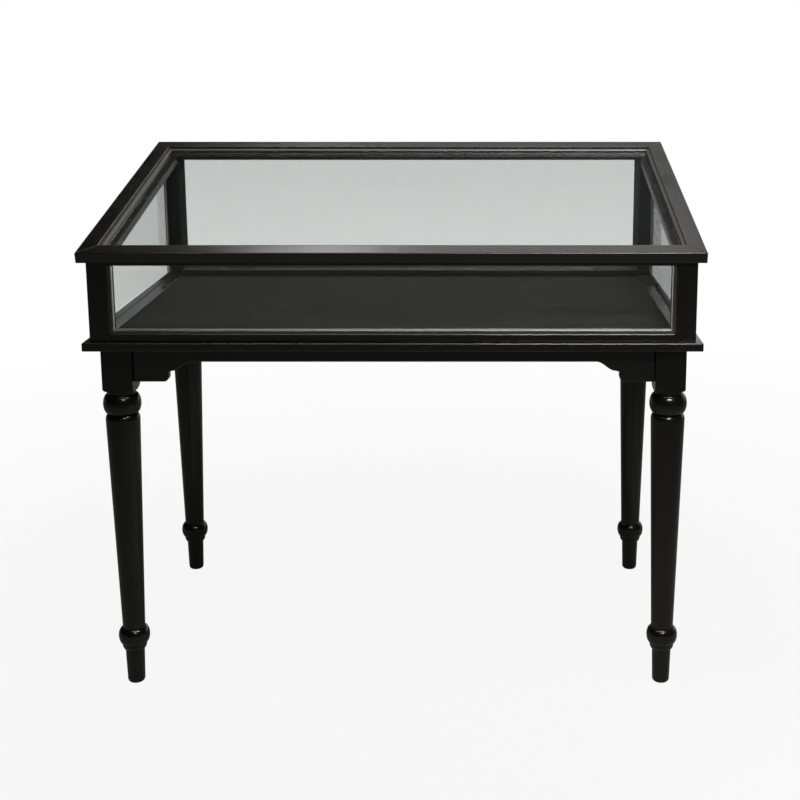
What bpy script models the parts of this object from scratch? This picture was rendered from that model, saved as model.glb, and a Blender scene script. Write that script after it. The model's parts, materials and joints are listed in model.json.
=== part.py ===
"""Sloping jewelry display case: a glazed box with a flip-up glass lid on a table with turned legs.

Metres, +Z up, +Y towards the back. The origin is on the floor under the middle of the case.
"""

import math

import bmesh
import bpy
from mathutils import Matrix

# Driving dimensions of the table
LEG_HEIGHT = 0.710
LEG_BLOCK = 0.060
LEG_SETBACK = 0.0275
BLOCK_HEIGHT = 0.090
POMMEL_HEIGHT = 0.010
BASE_THICKNESS = 0.016
BASE_OVERHANG = 0.013
APRON_HEIGHT = 0.0285
APRON_THICKNESS = 0.020
APRON_REVEAL = 0.008
APRON_TENON = 0.015
APRON_TENON_THICKNESS = 0.010
APRON_TENON_SHOULDER = 0.003
BRACKET_DROP = 0.040
BRACKET_TOE = 0.069
BRACKET_TOE_RADIUS = 0.010
BRACKET_TOE_RISE = 0.020
BRACKET_STEP = 0.009
BRACKET_SWEEP = 0.036
BRACE_REACH = 0.110
BRACE_HEIGHT = 0.022

# Driving dimensions of the turned legs: diameters, and heights of each turning
FOOT_TIP_DIAMETER = 0.022
FOOT_ROUND = 0.008
FOOT_DIAMETER = 0.0350
FOOT_TOP_DIAMETER = 0.0384
FOOT_HEIGHT = 0.073
COLLAR_DIAMETER = 0.0500
COLLAR_HEIGHT = 0.014
RING_DIAMETER = 0.0624
RING_HEIGHT = 0.033
ANKLE_DIAMETER = 0.0445
SHAFT_TOP_DIAMETER = 0.0672
SHOULDER_HEIGHT = 0.0115
NECK_DIAMETER = 0.0540
NECK_HEIGHT = 0.006
BEAD_DIAMETER = 0.0740
BEAD_HEIGHT = 0.041

# Driving dimensions of the case
CASE_WIDTH = 1.170
CASE_DEPTH = 0.690
CASE_FRONT_HEIGHT = 0.1584
LID_SLOPE_DEGREES = 12.0
POST_SIZE = 0.040
BOTTOM_RAIL_HEIGHT = 0.0155
BACK_RAIL_HEIGHT = 0.0280
TOP_RAIL_HEIGHT = 0.0095
SIDE_RAIL_HEIGHT = 0.017
RAIL_TENON = 0.009
RAIL_TENON_THICKNESS = 0.008
RAIL_TENON_SHOULDER = 0.003
RAIL_TENON_SETBACK = 0.021
DECK_THICKNESS = 0.012
GLASS_THICKNESS = 0.005
GLASS_SETBACK = 0.0105
GLASS_GROOVE = 0.005
PANE_BEAD_WIDTH = 0.0095
PANE_BEAD_SETBACK = 0.0015
PANE_BEAD_ROUND = 0.0080

# Driving dimensions of the lid and its hinges
LID_THICKNESS = 0.021
LID_OVERHANG = 0.015
LID_SIDE_RAIL_WIDTH = 0.034
LID_CROSS_RAIL_WIDTH = 0.042
LID_LIP_WIDTH = 0.009
LID_LIP_THICKNESS = 0.005
LID_BEAD_WIDTH = 0.009
LID_BEAD_HEIGHT = 0.007
LID_BEAD_ROUND = 0.006
HINGE_LENGTH = 0.060
HINGE_INSET = 0.205
HINGE_LEAF_WIDTH = 0.020
HINGE_LEAF_THICKNESS = 0.002
HINGE_SETOUT = 0.002
KNUCKLE_RADIUS = 0.004
KNUCKLE_COUNT = 5
PIN_RADIUS = 0.0018
HINGE_SCREW_COUNT = 2

# Fasteners: head radius, shank radius and length
HINGE_SCREW = (0.0032, 0.0015, 0.008)
CASE_SCREW = (0.0040, 0.0020, 0.040)

# Clearance between pieces that touch, and the softened arrises
GAP = 0.0003
ARRIS = 0.0012
ARRIS_SEGMENTS = 2
BEAD_SEGMENTS = 4
TURNED_STEPS = 20
SCREW_STEPS = 10
CURVE_POINTS = 6

# Places that follow from the driving dimensions
SLOPE = math.radians(LID_SLOPE_DEGREES)
HALF_WIDTH = CASE_WIDTH / 2
HALF_DEPTH = CASE_DEPTH / 2
LEG_X = HALF_WIDTH + BASE_OVERHANG - LEG_SETBACK - LEG_BLOCK / 2
LEG_Y = HALF_DEPTH + BASE_OVERHANG - LEG_SETBACK - LEG_BLOCK / 2
BASE_BOTTOM = LEG_HEIGHT + GAP
BASE_TOP = BASE_BOTTOM + BASE_THICKNESS
CASE_BOTTOM = BASE_TOP + GAP
FRONT_TOP = CASE_BOTTOM + CASE_FRONT_HEIGHT
OPENING_X = HALF_WIDTH - POST_SIZE
OPENING_Y = HALF_DEPTH - POST_SIZE
CORNERS = {"front_left": (-1, -1), "front_right": (1, -1), "back_left": (-1, 1), "back_right": (1, 1)}
HINGES = {"left": HINGE_INSET - HALF_WIDTH, "right": HALF_WIDTH - HINGE_INSET}


def case_top(y):
    """Height of the case's sloping top plane."""
    return FRONT_TOP + (y + HALF_DEPTH) * math.tan(SLOPE)


HINGE_Y = HALF_DEPTH + HINGE_SETOUT
HINGE_Z = case_top(HINGE_Y) + GAP / 2 / math.cos(SLOPE)
LID_UNDERSIDE = GAP / 2
LID_TOP = LID_UNDERSIDE + LID_THICKNESS
LID_LENGTH = CASE_DEPTH / math.cos(SLOPE) + 2 * LID_OVERHANG
LID_MIDDLE = ((LID_UNDERSIDE + LID_THICKNESS / 2) * math.sin(SLOPE) - HINGE_Y) / math.cos(SLOPE)
LID_BACK = LID_MIDDLE + LID_LENGTH / 2
LID_FRONT = LID_MIDDLE - LID_LENGTH / 2
LID_HALF_WIDTH = HALF_WIDTH + LID_OVERHANG


# Scene, collections and finishes

def clear_scene():
    for thing in list(bpy.data.objects):
        bpy.data.objects.remove(thing, do_unlink=True)


def new_collection(name):
    group = bpy.data.collections.new(name)
    bpy.context.scene.collection.children.link(group)
    return group


clear_scene()
PARTS = new_collection("jewelry_display_case")
CUTTERS = new_collection("cutters")


def new_finish(name, colour, roughness, metallic=0.0, transmission=0.0):
    finish = bpy.data.materials.new(name)
    finish.use_nodes = True
    shader = finish.node_tree.nodes["Principled BSDF"]
    shader.inputs["Base Color"].default_value = (*colour, 1.0)
    shader.inputs["Roughness"].default_value = roughness
    shader.inputs["Metallic"].default_value = metallic
    shader.inputs["Transmission Weight"].default_value = transmission
    return finish


BLACK_PAINT = new_finish("black_paint", (0.006, 0.006, 0.0055), 0.32)
BARE_WOOD = new_finish("bare_wood", (0.42, 0.30, 0.19), 0.7)
CLEAR_GLASS = new_finish("clear_glass", (0.95, 0.98, 0.97), 0.02, transmission=1.0)
CHARCOAL_CLOTH = new_finish("charcoal_cloth", (0.022, 0.022, 0.021), 0.95)
DARK_BRONZE = new_finish("dark_bronze", (0.05, 0.042, 0.035), 0.4, metallic=1.0)
ZINC = new_finish("zinc", (0.6, 0.6, 0.58), 0.35, metallic=1.0)


def add_object(name, mesh, finish=None, parent=None):
    """A sub-part when it has a finish, and otherwise a cutter."""
    thing = bpy.data.objects.new(name, mesh)
    thing.parent = parent
    if finish is None:
        CUTTERS.objects.link(thing)
        thing.hide_render = True
        thing.display_type = "WIRE"
        return thing
    PARTS.objects.link(thing)
    mesh.materials.clear()
    mesh.materials.append(finish)
    return thing


def add_pivot(name):
    """An empty on the hinge line, tilted to the lid's slope."""
    pivot = bpy.data.objects.new(name, None)
    PARTS.objects.link(pivot)
    pivot.location = (0, HINGE_Y, HINGE_Z)
    pivot.rotation_euler = (SLOPE, 0, 0)
    return pivot


# Shapes

def box(name, low, high, finish=None, parent=None):
    size = [b - a for a, b in zip(low, high)]
    shape = bmesh.new()
    bmesh.ops.create_cube(shape, size=1.0, matrix=Matrix.Diagonal((*size, 1.0)))
    mesh = bpy.data.meshes.new(name)
    shape.to_mesh(mesh)
    shape.free()
    thing = add_object(name, mesh, finish, parent)
    thing.location = [(a + b) / 2 for a, b in zip(low, high)]
    return thing


TURNS = {"X": (math.pi / 2, 0, math.pi / 2), "Y": (math.pi / 2, 0, 0), "Z": (0, 0, 0)}


def plate(name, outline, across, start, end, finish=None, parent=None, hole=None):
    """A flat outline given thickness along one axis: X takes (y, z) points, Y (x, z) and Z (x, y)."""
    curve = bpy.data.curves.new(name, "CURVE")
    curve.dimensions = "2D"
    curve.fill_mode = "BOTH"
    curve.extrude = abs(end - start) / 2
    for loop in (outline, hole) if hole else (outline,):
        spline = curve.splines.new("POLY")
        spline.points.add(len(loop) - 1)
        for point, (a, b) in zip(spline.points, loop):
            point.co = (a, b, 0, 1)
        spline.use_cyclic_u = True
    outline_object = bpy.data.objects.new(name + "_outline", curve)
    CUTTERS.objects.link(outline_object)
    middle = (start + end) / 2
    place = {"X": (middle, 0, 0), "Y": (0, middle, 0), "Z": (0, 0, middle)}[across]
    outline_object.location = place
    outline_object.rotation_euler = TURNS[across]
    mesh = solid_mesh(outline_object, name)
    thing = add_object(name, mesh, finish, parent)
    thing.location = place
    thing.rotation_euler = TURNS[across]
    return thing


def solid_mesh(source, name):
    """The evaluated shape of an object as a welded mesh; the object itself is removed."""
    bpy.context.view_layer.update()
    evaluated = source.evaluated_get(bpy.context.evaluated_depsgraph_get())
    mesh = bpy.data.meshes.new_from_object(evaluated)
    mesh.name = name
    shape = bmesh.new()
    shape.from_mesh(mesh)
    bmesh.ops.remove_doubles(shape, verts=shape.verts, dist=1e-6)
    bmesh.ops.dissolve_limit(shape, angle_limit=1e-4, verts=shape.verts, edges=shape.edges)
    bmesh.ops.recalc_face_normals(shape, faces=shape.faces)
    shape.to_mesh(mesh)
    shape.free()
    bpy.data.objects.remove(source, do_unlink=True)
    return mesh


def turned(name, profile, steps=TURNED_STEPS, finish=None, parent=None):
    """A profile of (radius, height) points, from top to bottom, spun round Z."""
    mesh = bpy.data.meshes.new(name)
    points = [(radius, 0, height) for radius, height in profile]
    mesh.from_pydata(points, [(i, i + 1) for i in range(len(points) - 1)], [])
    thing = add_object(name, mesh, finish, parent)
    spin = thing.modifiers.new("turned", "SCREW")
    spin.steps = steps
    spin.render_steps = steps
    spin.use_merge_vertices = True
    spin.merge_threshold = 1e-5
    spin.use_smooth_shade = True
    return thing


def soften(thing, width, keep, segments=ARRIS_SEGMENTS):
    """Round the edges for which keep(start, end) is true, in the object's own axes."""
    shape = bmesh.new()
    shape.from_mesh(thing.data)
    flat = math.radians(1)
    sharp = [e for e in shape.edges if e.calc_face_angle() > flat]
    edges = [e for e in sharp if keep(e.verts[0].co, e.verts[1].co)]
    bmesh.ops.bevel(shape, geom=edges, offset=width, segments=segments, profile=0.5, affect="EDGES")
    shape.to_mesh(thing.data)
    shape.free()
    return thing


def along(axis):
    """True for edges that run along one of the object's own axes."""
    others = [i for i in range(3) if i != axis]
    return lambda start, end: all(abs(start[i] - end[i]) < 1e-6 for i in others)


def every_edge(start, end):
    return True


def boolean(host, operand, operation):
    change = host.modifiers.new(operation.lower(), "BOOLEAN")
    change.operation = operation
    change.solver = "EXACT"
    change.object = operand


def cut(host, cutter):
    boolean(host, cutter, "DIFFERENCE")


def join(host, operand):
    boolean(host, operand, "UNION")


def grown(low, high):
    """A box's corners moved out by the clearance, for the pocket that receives it."""
    return [a - GAP for a in low], [b + GAP for b in high]


# Screws: a countersunk head and a plain core

def screw_profile(size, extra):
    """The head's flat top is at height 0 and the shank points down."""
    head, shank, length = size
    cone = head - shank
    return [
        (0, extra),
        (head + extra, extra),
        (head + extra, 0),
        (shank + extra, -cone),
        (shank + extra, -length),
        (0, -length - extra),
    ]


def drive_screw(name, size, place, points_up, finish, hosts, parent=None):
    """A screw, and a clearance hole for it in the pieces that it holds."""
    screw = turned(name, screw_profile(size, 0), SCREW_STEPS, finish, parent)
    hole = turned(name + "_hole", screw_profile(size, GAP), SCREW_STEPS, parent=parent)
    for thing in (screw, hole):
        thing.location = place
        thing.rotation_euler = (math.pi if points_up else 0, 0, 0)
    for host in hosts:
        cut(host, hole)


# Turned legs

def rounded(low_height, high_height, neck_low, neck_high, belly, points):
    """A swelling from one neck to the next, from top to bottom, as half an ellipse."""
    middle = (low_height + high_height) / 2
    half = (high_height - low_height) / 2
    shape = []
    for i in range(points + 1):
        angle = math.pi * i / points
        neck = neck_high if angle < math.pi / 2 else neck_low
        shape.append((neck + (belly - neck) * math.sin(angle), middle + half * math.cos(angle)))
    return shape


def quarter_round(start, end, bulges_down=True):
    """A quarter of an ellipse between two (radius, height) points, without its first point."""
    shape = []
    for i in range(1, CURVE_POINTS + 1):
        angle = math.pi / 2 * i / CURVE_POINTS
        near, far = (1 - math.cos(angle), math.sin(angle))
        across, down = (near, far) if bulges_down else (far, near)
        shape.append((start[0] + (end[0] - start[0]) * across, start[1] + (end[1] - start[1]) * down))
    return shape


def block_bottom():
    return LEG_HEIGHT - BLOCK_HEIGHT


def leg_profile():
    """From inside the square block down to the floor."""
    neck = NECK_DIAMETER / 2
    bead_top = block_bottom() - NECK_HEIGHT
    shoulder_top = bead_top - BEAD_HEIGHT
    collar_top = FOOT_HEIGHT + COLLAR_HEIGHT
    ring_top = collar_top + RING_HEIGHT
    start = (neck, bead_top + LEG_BLOCK / 4)
    profile = [(0, start[1]), start]
    profile += rounded(shoulder_top, bead_top, neck, neck, BEAD_DIAMETER / 2, 2 * CURVE_POINTS)
    shaft_top = (SHAFT_TOP_DIAMETER / 2, shoulder_top - SHOULDER_HEIGHT)
    profile += quarter_round(profile[-1], shaft_top, bulges_down=False)
    collar = COLLAR_DIAMETER / 2
    profile += rounded(collar_top, ring_top, collar, ANKLE_DIAMETER / 2, RING_DIAMETER / 2, 2 * CURVE_POINTS)
    profile += quarter_round(profile[-1], (FOOT_TOP_DIAMETER / 2, FOOT_HEIGHT))
    profile.append((FOOT_DIAMETER / 2, FOOT_ROUND))
    profile += quarter_round(profile[-1], (FOOT_TIP_DIAMETER / 2, 0))
    profile.append((0, 0))
    return profile


def pommel_profile():
    """What the square block is trimmed to: round shoulders on its lower corners."""
    corner = (LEG_BLOCK / math.sqrt(2), block_bottom() + POMMEL_HEIGHT)
    profile = [(0, 2 * LEG_HEIGHT), (LEG_BLOCK, 2 * LEG_HEIGHT), (LEG_BLOCK, corner[1]), corner]
    profile += quarter_round(corner, (NECK_DIAMETER / 2, block_bottom()))
    profile.append((0, block_bottom()))
    return profile


def make_legs():
    legs = {}
    for corner, (sx, sy) in CORNERS.items():
        leg = turned("leg_" + corner, leg_profile(), finish=BLACK_PAINT)
        leg.location = (sx * LEG_X, sy * LEG_Y, 0)
        half = LEG_BLOCK / 2
        low = (sx * LEG_X - half, sy * LEG_Y - half, block_bottom() - POMMEL_HEIGHT)
        high = (sx * LEG_X + half, sy * LEG_Y + half, LEG_HEIGHT)
        block = soften(box("leg_block_" + corner, low, high), ARRIS, along(2))
        pommel = turned("leg_pommel_" + corner, pommel_profile())
        pommel.location = leg.location
        boolean(block, pommel, "INTERSECT")
        join(leg, block)
        legs[corner] = leg
    return legs


# Aprons with bracket ends

def bracket_end():
    """From the leg to the straight edge: (distance from the leg, drop below the straight edge)."""
    toe_top = BRACKET_DROP - BRACKET_TOE_RISE
    points = [(0, BRACKET_DROP)]
    for i in range(CURVE_POINTS + 1):
        angle = math.pi / 2 * i / CURVE_POINTS
        away = BRACKET_TOE - BRACKET_TOE_RADIUS * (1 - math.sin(angle))
        points.append((away, BRACKET_DROP - BRACKET_TOE_RADIUS * (1 - math.cos(angle))))
    points.append((BRACKET_TOE, toe_top))
    for i in range(2 * CURVE_POINTS + 1):
        share = i / (2 * CURVE_POINTS)
        ease = share * share * (3 - 2 * share)
        points.append((BRACKET_TOE + BRACKET_STEP + BRACKET_SWEEP * share, toe_top * 0.9 * (1 - ease)))
    return points


def apron_outline(half_length):
    top = LEG_HEIGHT
    edge = LEG_HEIGHT - APRON_HEIGHT
    left = [(-half_length + away, edge - drop) for away, drop in bracket_end()]
    right = [(-a, b) for a, b in reversed(left)]
    return [(-half_length, top)] + left + right + [(half_length, top)]


def lower_edge(half_length):
    """True for the edges of the shaped lower side, on both faces."""
    def keep(start, end):
        return start.z * end.z > 0 and min(abs(start.x), abs(end.x)) < half_length - GAP
    return keep


def make_aprons(legs):
    offset = LEG_BLOCK / 2 - APRON_REVEAL - APRON_THICKNESS / 2
    span = {"Y": LEG_X - LEG_BLOCK / 2 - GAP, "X": LEG_Y - LEG_BLOCK / 2 - GAP}
    tenon_top = LEG_HEIGHT - APRON_TENON_SHOULDER
    tenon_bottom = LEG_HEIGHT - APRON_HEIGHT + APRON_TENON_SHOULDER
    for side, across, sign in (("front", "Y", -1), ("back", "Y", 1), ("left", "X", -1), ("right", "X", 1)):
        name = "apron_" + side
        middle = sign * ((LEG_Y if across == "Y" else LEG_X) + offset)
        start = middle - APRON_THICKNESS / 2
        end = middle + APRON_THICKNESS / 2
        apron = plate(name, apron_outline(span[across]), across, start, end, BLACK_PAINT)
        soften(apron, ARRIS, lower_edge(span[across]), segments=1)
        reach = span[across] + APRON_TENON
        half = APRON_TENON_THICKNESS / 2
        low, high = (-reach, middle - half, tenon_bottom), (reach, middle + half, tenon_top)
        if across == "X":
            low, high = (low[1], low[0], low[2]), (high[1], high[0], high[2])
        join(apron, box(name + "_tenons", low, high))
        pocket = box(name + "_mortises", *grown(low, high))
        for corner, leg in legs.items():
            if side in corner.split("_"):
                cut(leg, pocket)


def make_braces():
    """Glue blocks across the inside of each apron corner, notched round the leg block."""
    inset = LEG_BLOCK / 2 - APRON_REVEAL - APRON_THICKNESS - GAP
    notch = inset + LEG_BLOCK / 2 + GAP
    outline = [(notch, 0), (BRACE_REACH, 0), (0, BRACE_REACH), (0, notch), (notch, notch)]
    for corner, (sx, sy) in CORNERS.items():
        points = [(sx * (LEG_X + inset - a), sy * (LEG_Y + inset - b)) for a, b in outline]
        name = "corner_brace_" + corner
        plate(name, points, "Z", LEG_HEIGHT - BRACE_HEIGHT, LEG_HEIGHT, BARE_WOOD)


def make_base_board():
    reach_x = HALF_WIDTH + BASE_OVERHANG
    reach_y = HALF_DEPTH + BASE_OVERHANG
    board = box("base_board", (-reach_x, -reach_y, BASE_BOTTOM), (reach_x, reach_y, BASE_TOP), BLACK_PAINT)
    return soften(board, ARRIS, every_edge)


# Case frame

def make_posts(base_board):
    posts = {}
    for corner, (sx, sy) in CORNERS.items():
        xs = sorted((sx * HALF_WIDTH, sx * OPENING_X))
        ys = sorted((sy * HALF_DEPTH, sy * OPENING_Y))
        outline = [
            (ys[0], CASE_BOTTOM),
            (ys[1], CASE_BOTTOM),
            (ys[1], case_top(ys[1])),
            (ys[0], case_top(ys[0])),
        ]
        post = plate("post_" + corner, outline, "X", xs[0], xs[1], BLACK_PAINT)
        posts[corner] = soften(post, ARRIS, along(1))
        middle = (sum(xs) / 2, sum(ys) / 2, BASE_BOTTOM + GAP)
        drive_screw("case_screw_" + corner, CASE_SCREW, middle, True, ZINC, [base_board, post])
    return posts


def hosts_on(side, pieces):
    """The corner pieces at the two ends of one side."""
    return [piece for corner, piece in pieces.items() if side in corner.split("_")]


def tenon_span(side):
    """Low and high edges of a rail's tenon across its thickness."""
    sign = -1 if side in ("front", "left") else 1
    face = HALF_DEPTH if side in ("front", "back") else HALF_WIDTH
    outer = sign * (face - RAIL_TENON_SETBACK)
    return sorted((outer, outer - sign * RAIL_TENON_THICKNESS))


def rail_across(side):
    """Low and high faces of a rail, flush with the posts."""
    sign = -1 if side in ("front", "left") else 1
    face, inner = (HALF_DEPTH, OPENING_Y) if side in ("front", "back") else (HALF_WIDTH, OPENING_X)
    return sorted((sign * face, sign * inner))


def straight_rail(name, side, bottom, top, tenon_low, tenon_high, posts, outline=None):
    """A rail along X or Y between two posts, with a tenon at each end."""
    runs_x = side in ("front", "back")
    length = (OPENING_X if runs_x else OPENING_Y) - GAP
    faces = rail_across(side)
    tenon = tenon_span(side)
    low, high = (-length, faces[0], bottom), (length, faces[1], top)
    core_low = (-length - RAIL_TENON, tenon[0], tenon_low)
    core_high = (length + RAIL_TENON, tenon[1], tenon_high)
    if not runs_x:
        low, high = (low[1], low[0], low[2]), (high[1], high[0], high[2])
        core_low = (core_low[1], core_low[0], core_low[2])
        core_high = (core_high[1], core_high[0], core_high[2])
    if outline is None:
        rail = soften(box(name, low, high, BLACK_PAINT), ARRIS, along(0 if runs_x else 1))
    else:
        rail = soften(plate(name, outline, "X", -length, length, BLACK_PAINT), ARRIS, along(2))
    join(rail, box(name + "_tenons", core_low, core_high))
    pocket = box(name + "_mortises", *grown(core_low, core_high))
    for post in hosts_on(side, posts):
        cut(post, pocket)
    return rail


def bottom_rail_top(side):
    """Upper side of a bottom rail; the back one stands higher."""
    return CASE_BOTTOM + (BACK_RAIL_HEIGHT if side == "back" else BOTTOM_RAIL_HEIGHT)


def top_rail_bottom(side):
    """Underside of the front or back top rail, below the lower side of its sloping top."""
    lower_side = rail_across(side)[0]
    return case_top(lower_side) - TOP_RAIL_HEIGHT


def side_rail_outline(start, end, low, high):
    """A strip that runs up the slope, from low to high below the case's top plane."""
    return [
        (start, case_top(start) - low),
        (end, case_top(end) - low),
        (end, case_top(end) - high),
        (start, case_top(start) - high),
    ]


def up_the_slope(start, end):
    """True for a side rail's long edges."""
    return start.z * end.z > 0 and abs(start.x - end.x) > abs(start.y - end.y)


def make_rails(posts):
    bottom_rails = {}
    top_rails = {}
    low = CASE_BOTTOM + RAIL_TENON_SHOULDER
    for side in ("front", "back", "left", "right"):
        name = "bottom_rail_" + side
        top = bottom_rail_top(side)
        high = top - RAIL_TENON_SHOULDER
        bottom_rails[side] = straight_rail(name, side, CASE_BOTTOM, top, low, high, posts)
    for side in ("front", "back"):
        ys = rail_across(side)
        bottom = top_rail_bottom(side)
        outline = [(ys[0], bottom), (ys[1], bottom), (ys[1], case_top(ys[1])), (ys[0], case_top(ys[0]))]
        low = bottom + RAIL_TENON_SHOULDER
        high = case_top(ys[0]) - RAIL_TENON_SHOULDER
        name = "top_rail_" + side
        top_rails[side] = straight_rail(name, side, bottom, None, low, high, posts, outline)
    for side in ("left", "right"):
        name = "top_rail_" + side
        length = OPENING_Y - GAP
        xs = rail_across(side)
        outline = side_rail_outline(-length, length, SIDE_RAIL_HEIGHT, 0)
        rail = plate(name, outline, "X", xs[0], xs[1], BLACK_PAINT)
        soften(rail, ARRIS, up_the_slope)
        tenon = tenon_span(side)
        reach = length + RAIL_TENON
        shoulder = RAIL_TENON_SHOULDER
        core = side_rail_outline(-reach, reach, SIDE_RAIL_HEIGHT - shoulder, shoulder)
        join(rail, plate(name + "_tenons", core, "X", tenon[0], tenon[1]))
        reach += GAP
        room = side_rail_outline(-reach, reach, SIDE_RAIL_HEIGHT - shoulder + GAP, shoulder - GAP)
        pocket = plate(name + "_mortises", room, "X", tenon[0] - GAP, tenon[1] + GAP)
        for post in hosts_on(side, posts):
            cut(post, pocket)
        top_rails[side] = rail
    return bottom_rails, top_rails


# Glass and glazing beads of the case

def opening_top(side, at):
    """Underside of the top rail over one point of a side's opening."""
    if side in ("front", "back"):
        return top_rail_bottom(side)
    return case_top(at) - SIDE_RAIL_HEIGHT


def pane_outline(side, edge):
    """The pane's outline, standing into the grooves round its opening by the given edge."""
    reach = (OPENING_X if side in ("front", "back") else OPENING_Y) + edge
    bottom = bottom_rail_top(side) - edge
    return [
        (-reach, bottom),
        (reach, bottom),
        (reach, opening_top(side, reach) + edge),
        (-reach, opening_top(side, -reach) + edge),
    ]


def side_frame(side):
    """The axis that a side's pane faces along, its sign, and its outer face."""
    if side in ("front", "back"):
        return "Y", (-1 if side == "front" else 1), HALF_DEPTH
    return "X", (-1 if side == "left" else 1), HALF_WIDTH


def make_panes(posts, bottom_rails, top_rails):
    for side in ("front", "back", "left", "right"):
        across, sign, face = side_frame(side)
        outer = sign * (face - GLASS_SETBACK)
        start, end = sorted((outer, outer - sign * GLASS_THICKNESS))
        plate("pane_" + side, pane_outline(side, GLASS_GROOVE - GAP), across, start, end, CLEAR_GLASS)
        room = pane_outline(side, GLASS_GROOVE)
        groove = plate("groove_" + side, room, across, start - GAP, end + GAP)
        for host in [*hosts_on(side, posts), bottom_rails[side], top_rails[side]]:
            cut(host, groove)


def bead_outline(side):
    """A strip up one side of the opening, along the bottom and up the other, cut to the top rail."""
    reach = (OPENING_X if side in ("front", "back") else OPENING_Y) - GAP
    inner = reach - PANE_BEAD_WIDTH
    bottom = bottom_rail_top(side) + GAP
    step = bottom + PANE_BEAD_WIDTH
    outer_edge = [
        (-reach, opening_top(side, -reach) - GAP),
        (-reach, bottom),
        (reach, bottom),
        (reach, opening_top(side, reach) - GAP),
    ]
    inner_edge = [
        (inner, opening_top(side, inner) - GAP),
        (inner, step),
        (-inner, step),
        (-inner, opening_top(side, -inner) - GAP),
    ]
    return outer_edge, inner_edge


def make_pane_beads():
    for side in ("front", "back", "left", "right"):
        across, sign, face = side_frame(side)
        start, end = sorted((sign * (face - PANE_BEAD_SETBACK), sign * (face - GLASS_SETBACK + GAP)))
        outer_edge, inner_edge = bead_outline(side)
        name = "pane_beads_" + side
        beads = plate(name, outer_edge + inner_edge, across, start, end, BLACK_PAINT)
        front = sign if across == "X" else -sign
        soften(beads, PANE_BEAD_ROUND, between(inner_edge, front), BEAD_SEGMENTS)


def between(corners, side):
    """True for the edges from one of these outline points to the next, on the face at the given side."""
    def near(point):
        found = [i for i, corner in enumerate(corners) if math.dist(point.xy, corner) < 1e-5]
        return found[0] if found and point.z * side > 0 else None

    def keep(start, end):
        first, second = near(start), near(end)
        return None not in (first, second) and first != second
    return keep


def make_deck():
    x = OPENING_X - GAP
    y = OPENING_Y - GAP
    box("display_deck", (-x, -y, CASE_BOTTOM), (x, y, CASE_BOTTOM + DECK_THICKNESS), CHARCOAL_CLOTH)


# Lid, in the axes of its pivot: X along the hinge, Y up the slope, Z out of the glass

def lid_corner(inset, inside_rails=False):
    """Half width, front and back of a rectangle inset from the lid's edges, or from inside its rails."""
    side = inset + LID_SIDE_RAIL_WIDTH * inside_rails
    cross = inset + LID_CROSS_RAIL_WIDTH * inside_rails
    return LID_HALF_WIDTH - side, LID_FRONT + cross, LID_BACK - cross


def lid_rectangle(inset, inside_rails):
    half, front, back = lid_corner(inset, inside_rails)
    return [(-half, front), (half, front), (half, back), (-half, back)]


def mitred_rails():
    """Outlines of the lid's mitred rails with their lips: front, back, left and right."""
    ox, of, ob = lid_corner(0)
    ix, inf, inb = lid_corner(LID_LIP_WIDTH, True)
    half = GAP / 2
    return {
        "front": [(-ox + half, of), (ox - half, of), (ix - half, inf), (-ix + half, inf)],
        "back": [(ox - half, ob), (-ox + half, ob), (-ix + half, inb), (ix - half, inb)],
        "left": [(-ox, ob - half), (-ox, of + half), (-ix, inf + half), (-ix, inb - half)],
        "right": [(ox, of + half), (ox, ob - half), (ix, inb - half), (ix, inf + half)],
    }


def make_lid(pivot):
    rails = {}
    ix, inf, inb = lid_corner(0, True)
    rebate_floor = LID_UNDERSIDE + LID_LIP_THICKNESS
    rebate = box("lid_rebate", (-ix, inf, rebate_floor), (ix, inb, 2 * LID_TOP), parent=pivot)
    for side, outline in mitred_rails().items():
        rail = plate("lid_rail_" + side, outline, "Z", LID_UNDERSIDE, LID_TOP, BLACK_PAINT, pivot)
        soften(rail, ARRIS, along(0 if side in ("front", "back") else 1))
        cut(rail, rebate)
        rails[side] = rail
    glass_bottom = rebate_floor + GAP
    glass_top = glass_bottom + GLASS_THICKNESS
    low = (-ix + GAP, inf + GAP, glass_bottom)
    box("lid_glass", low, (ix - GAP, inb - GAP, glass_top), CLEAR_GLASS, pivot)
    bead_bottom = glass_top + GAP
    bead_top = bead_bottom + LID_BEAD_HEIGHT
    outer = lid_rectangle(GAP, True)
    inner = lid_rectangle(GAP + LID_BEAD_WIDTH, True)
    beads = plate("lid_beads", outer, "Z", bead_bottom, bead_top, BLACK_PAINT, pivot, hole=inner)
    soften(beads, LID_BEAD_ROUND, between(inner, 1), BEAD_SEGMENTS)
    return rails


# Butt hinges, in the axes of the hinge line

def cylinder_group(name, radius, spans, finish=None, parent=None):
    """Round bars along X, one for each (start, end)."""
    shape = bmesh.new()
    for start, end in spans:
        place = Matrix.Translation(((start + end) / 2, 0, 0)) @ Matrix.Rotation(math.pi / 2, 4, "Y")
        bmesh.ops.create_cone(
            shape,
            cap_ends=True,
            segments=16,
            radius1=radius,
            radius2=radius,
            depth=end - start,
            matrix=place,
        )
    mesh = bpy.data.meshes.new(name)
    shape.to_mesh(mesh)
    shape.free()
    mesh.shade_smooth()
    mesh.set_sharp_from_angle(angle=math.radians(40))
    return add_object(name, mesh, finish, parent)


def knuckle_spans(middle, first):
    """Every other knuckle along one hinge."""
    pitch = HINGE_LENGTH / KNUCKLE_COUNT
    start = middle - HINGE_LENGTH / 2
    return [
        (start + i * pitch + GAP / 2, start + (i + 1) * pitch - GAP / 2)
        for i in range(first, KNUCKLE_COUNT, 2)
    ]


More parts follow.
